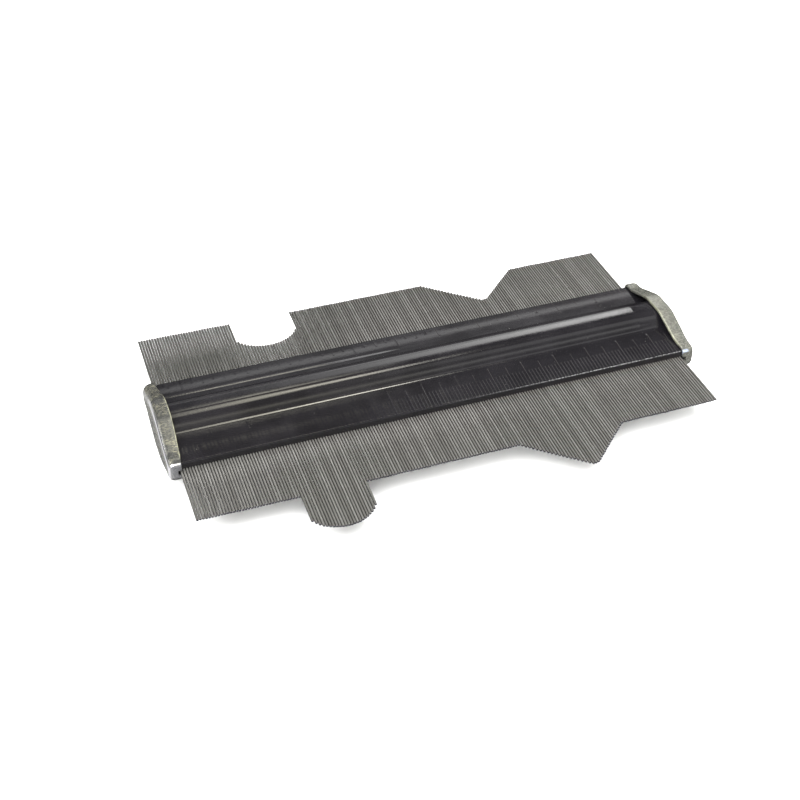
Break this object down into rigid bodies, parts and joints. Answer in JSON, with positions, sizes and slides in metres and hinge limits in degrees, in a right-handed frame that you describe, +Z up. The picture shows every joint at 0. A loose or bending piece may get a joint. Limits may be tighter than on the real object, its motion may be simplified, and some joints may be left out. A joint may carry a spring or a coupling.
{
  "type": "contour gauge",
  "caption": "Contour gauge that copies a profile with a row of sliding steel needles held between two black pressed covers with metal end caps",
  "frame": {"origin": "centre of the housing in X and Y, at the level of the two flats on the end caps that it rests on", "axes": "X runs along the housing, Y along the needles towards the back edge of the picture, Z up, square to the needle row"},
  "size_m": [0.1536, 0.0943, 0.0152],
  "materials": {
    "lacquer": "glossy black lacquer on pressed steel",
    "cap_steel": "pressed steel, plated and lightly polished",
    "needle_steel": "drawn steel wire",
    "block_steel": "plain milled steel",
    "spring_steel": "blued spring strip",
    "felt": "pressed grey felt"
  },
  "bodies": {
    "housing": {"top_cover": "lacquer", "bottom_cover": "lacquer", "left_end_cap": "cap_steel", "right_end_cap": "cap_steel", "left_spacer_block": "block_steel", "right_spacer_block": "block_steel", "top_felt_strip": "felt", "bottom_felt_strip": "felt", "top_wave_spring": "spring_steel", "bottom_wave_spring": "spring_steel"},
    "needles_01": {"needles_01": "needle_steel"},
    "needles_02": {"needles_02": "needle_steel"},
    "needles_03": {"needles_03": "needle_steel"},
    "needles_04": {"needles_04": "needle_steel"},
    "needles_05": {"needles_05": "needle_steel"},
    "needles_06": {"needles_06": "needle_steel"},
    "needles_07": {"needles_07": "needle_steel"},
    "needles_08": {"needles_08": "needle_steel"},
    "needles_09": {"needles_09": "needle_steel"},
    "needles_10": {"needles_10": "needle_steel"},
    "needles_11": {"needles_11": "needle_steel"},
    "needles_12": {"needles_12": "needle_steel"},
    "needles_13": {"needles_13": "needle_steel"},
    "needles_14": {"needles_14": "needle_steel"},
    "needles_15": {"needles_15": "needle_steel"},
    "needles_16": {"needles_16": "needle_steel"},
    "needles_17": {"needles_17": "needle_steel"},
    "needles_18": {"needles_18": "needle_steel"},
    "needles_19": {"needles_19": "needle_steel"},
    "needles_20": {"needles_20": "needle_steel"},
    "needles_21": {"needles_21": "needle_steel"},
    "needles_22": {"needles_22": "needle_steel"},
    "needles_23": {"needles_23": "needle_steel"},
    "needles_24": {"needles_24": "needle_steel"},
    "needles_25": {"needles_25": "needle_steel"},
    "needles_26": {"needles_26": "needle_steel"},
    "needles_27": {"needles_27": "needle_steel"},
    "needles_28": {"needles_28": "needle_steel"},
    "needles_29": {"needles_29": "needle_steel"},
    "needles_30": {"needles_30": "needle_steel"},
    "needles_31": {"needles_31": "needle_steel"},
    "needles_32": {"needles_32": "needle_steel"},
    "needles_33": {"needles_33": "needle_steel"},
    "needles_34": {"needles_34": "needle_steel"},
    "needles_35": {"needles_35": "needle_steel"},
    "needles_36": {"needles_36": "needle_steel"},
    "needles_37": {"needles_37": "needle_steel"},
    "needles_38": {"needles_38": "needle_steel"},
    "needles_39": {"needles_39": "needle_steel"},
    "needles_40": {"needles_40": "needle_steel"},
    "needles_41": {"needles_41": "needle_steel"},
    "needles_42": {"needles_42": "needle_steel"},
    "needles_43": {"needles_43": "needle_steel"},
    "needles_44": {"needles_44": "needle_steel"},
    "needles_45": {"needles_45": "needle_steel"},
    "needles_46": {"needles_46": "needle_steel"},
    "needles_47": {"needles_47": "needle_steel"}
  },
  "joints": [
    {"name": "needles_01_slide", "type": "slide", "parent": "housing", "child": "needles_01", "axis": [0.0081, 1, 0], "range_m": [-0.02331, 0.01858]},
    {"name": "needles_02_slide", "type": "slide", "parent": "housing", "child": "needles_02", "axis": [0.0085, 1, 0], "range_m": [-0.02331, 0.01861]},
    {"name": "needles_03_slide", "type": "slide", "parent": "housing", "child": "needles_03", "axis": [0.0088, 1, 0], "range_m": [-0.02334, 0.01859]},
    {"name": "needles_04_slide", "type": "slide", "parent": "housing", "child": "needles_04", "axis": [0.0092, 1, 0], "range_m": [-0.02326, 0.01862]},
    {"name": "needles_05_slide", "type": "slide", "parent": "housing", "child": "needles_05", "axis": [0.0095, 1, 0], "range_m": [-0.02319, 0.01871]},
    {"name": "needles_06_slide", "type": "slide", "parent": "housing", "child": "needles_06", "axis": [0.0098, 1, 0], "range_m": [-0.02317, 0.01875]},
    {"name": "needles_07_slide", "type": "slide", "parent": "housing", "child": "needles_07", "axis": [0.0108, 0.9999, 0], "range_m": [-0.02319, 0.01873]},
    {"name": "needles_08_slide", "type": "slide", "parent": "housing", "child": "needles_08", "axis": [0.0121, 0.9999, 0], "range_m": [-0.02313, 0.01878]},
    {"name": "needles_09_slide", "type": "slide", "parent": "housing", "child": "needles_09", "axis": [0.0135, 0.9999, 0], "range_m": [-0.0134, 0.01892]},
    {"name": "needles_10_slide", "type": "slide", "parent": "housing", "child": "needles_10", "axis": [0.0149, 0.9999, 0], "range_m": [-0.01053, 0.02962]},
    {"name": "needles_11_slide", "type": "slide", "parent": "housing", "child": "needles_11", "axis": [0.0163, 0.9999, 0], "range_m": [-0.00936, 0.03186]},
    {"name": "needles_12_slide", "type": "slide", "parent": "housing", "child": "needles_12", "axis": [0.0176, 0.9998, 0], "range_m": [-0.00905, 0.03283]},
    {"name": "needles_13_slide", "type": "slide", "parent": "housing", "child": "needles_13", "axis": [0.019, 0.9998, 0], "range_m": [-0.0092, 0.03215]},
    {"name": "needles_14_slide", "type": "slide", "parent": "housing", "child": "needles_14", "axis": [0.0204, 0.9998, 0], "range_m": [-0.01017, 0.03019]},
    {"name": "needles_15_slide", "type": "slide", "parent": "housing", "child": "needles_15", "axis": [0.0211, 0.9998, 0], "range_m": [-0.01265, 0.01889]},
    {"name": "needles_16_slide", "type": "slide", "parent": "housing", "child": "needles_16", "axis": [0.0212, 0.9998, 0], "range_m": [-0.02304, 0.01887]},
    {"name": "needles_17_slide", "type": "slide", "parent": "housing", "child": "needles_17", "axis": [0.0213, 0.9998, 0], "range_m": [-0.02303, 0.01888]},
    {"name": "needles_18_slide", "type": "slide", "parent": "housing", "child": "needles_18", "axis": [0.0214, 0.9998, 0], "range_m": [-0.02312, 0.01882]},
    {"name": "needles_19_slide", "type": "slide", "parent": "housing", "child": "needles_19", "axis": [0.0216, 0.9998, 0], "range_m": [-0.02309, 0.01883]},
    {"name": "needles_20_slide", "type": "slide", "parent": "housing", "child": "needles_20", "axis": [0.0217, 0.9998, 0], "range_m": [-0.02302, 0.01892]},
    {"name": "needles_21_slide", "type": "slide", "parent": "housing", "child": "needles_21", "axis": [0.0218, 0.9998, 0], "range_m": [-0.02307, 0.01885]},
    {"name": "needles_22_slide", "type": "slide", "parent": "housing", "child": "needles_22", "axis": [0.0219, 0.9998, 0], "range_m": [-0.02311, 0.01883]},
    {"name": "needles_23_slide", "type": "slide", "parent": "housing", "child": "needles_23", "axis": [0.0216, 0.9998, 0], "range_m": [-0.02303, 0.01887]},
    {"name": "needles_24_slide", "type": "slide", "parent": "housing", "child": "needles_24", "axis": [0.0208, 0.9998, 0], "range_m": [-0.02302, 0.01889]},
    {"name": "needles_25_slide", "type": "slide", "parent": "housing", "child": "needles_25", "axis": [0.0201, 0.9998, 0], "range_m": [-0.02308, 0.01883]},
    {"name": "needles_26_slide", "type": "slide", "parent": "housing", "child": "needles_26", "axis": [0.0193, 0.9998, 0], "range_m": [-0.0231, 0.01881]},
    {"name": "needles_27_slide", "type": "slide", "parent": "housing", "child": "needles_27", "axis": [0.0186, 0.9998, 0], "range_m": [-0.02304, 0.01886]},
    {"name": "needles_28_slide", "type": "slide", "parent": "housing", "child": "needles_28", "axis": [0.0178, 0.9998, 0], "range_m": [-0.02303, 0.01889]},
    {"name": "needles_29_slide", "type": "slide", "parent": "housing", "child": "needles_29", "axis": [0.0171, 0.9999, 0], "range_m": [-0.02117, 0.01889]},
    {"name": "needles_30_slide", "type": "slide", "parent": "housing", "child": "needles_30", "axis": [0.0164, 0.9999, 0], "range_m": [-0.01844, 0.02148]},
    {"name": "needles_31_slide", "type": "slide", "parent": "housing", "child": "needles_31", "axis": [0.0156, 0.9999, 0], "range_m": [-0.01563, 0.02432]},
    {"name": "needles_32_slide", "type": "slide", "parent": "housing", "child": "needles_32", "axis": [0.0149, 0.9999, 0], "range_m": [-0.01305, 0.02698]},
    {"name": "needles_33_slide", "type": "slide", "parent": "housing", "child": "needles_33", "axis": [0.0141, 0.9999, 0], "range_m": [-0.01037, 0.02961]},
    {"name": "needles_34_slide", "type": "slide", "parent": "housing", "child": "needles_34", "axis": [0.0134, 0.9999, 0], "range_m": [-0.00979, 0.03127]},
    {"name": "needles_35_slide", "type": "slide", "parent": "housing", "child": "needles_35", "axis": [0.0126, 0.9999, 0], "range_m": [-0.01155, 0.02814]},
    {"name": "needles_36_slide", "type": "slide", "parent": "housing", "child": "needles_36", "axis": [0.0119, 0.9999, 0], "range_m": [-0.0146, 0.02505]},
    {"name": "needles_37_slide", "type": "slide", "parent": "housing", "child": "needles_37", "axis": [0.0111, 0.9999, 0], "range_m": [-0.01771, 0.022]},
    {"name": "needles_38_slide", "type": "slide", "parent": "housing", "child": "needles_38", "axis": [0.0104, 0.9999, 0], "range_m": [-0.02081, 0.01945]},
    {"name": "needles_39_slide", "type": "slide", "parent": "housing", "child": "needles_39", "axis": [0.0096, 1, 0], "range_m": [-0.02248, 0.01945]},
    {"name": "needles_40_slide", "type": "slide", "parent": "housing", "child": "needles_40", "axis": [0.0088, 1, 0], "range_m": [-0.02255, 0.01939]},
    {"name": "needles_41_slide", "type": "slide", "parent": "housing", "child": "needles_41", "axis": [0.008, 1, 0], "range_m": [-0.02255, 0.01937]},
    {"name": "needles_42_slide", "type": "slide", "parent": "housing", "child": "needles_42", "axis": [0.0073, 1, 0], "range_m": [-0.02246, 0.01947]},
    {"name": "needles_43_slide", "type": "slide", "parent": "housing", "child": "needles_43", "axis": [0.0065, 1, 0], "range_m": [-0.0225, 0.01942]},
    {"name": "needles_44_slide", "type": "slide", "parent": "housing", "child": "needles_44", "axis": [0.0057, 1, 0], "range_m": [-0.02255, 0.01938]},
    {"name": "needles_45_slide", "type": "slide", "parent": "housing", "child": "needles_45", "axis": [0.0049, 1, 0], "range_m": [-0.02249, 0.0194]},
    {"name": "needles_46_slide", "type": "slide", "parent": "housing", "child": "needles_46", "axis": [0.0041, 1, 0], "range_m": [-0.02247, 0.01945]},
    {"name": "needles_47_slide", "type": "slide", "parent": "housing", "child": "needles_47", "axis": [0.0034, 1, 0], "range_m": [-0.02251, 0.0194]}
  ]
}
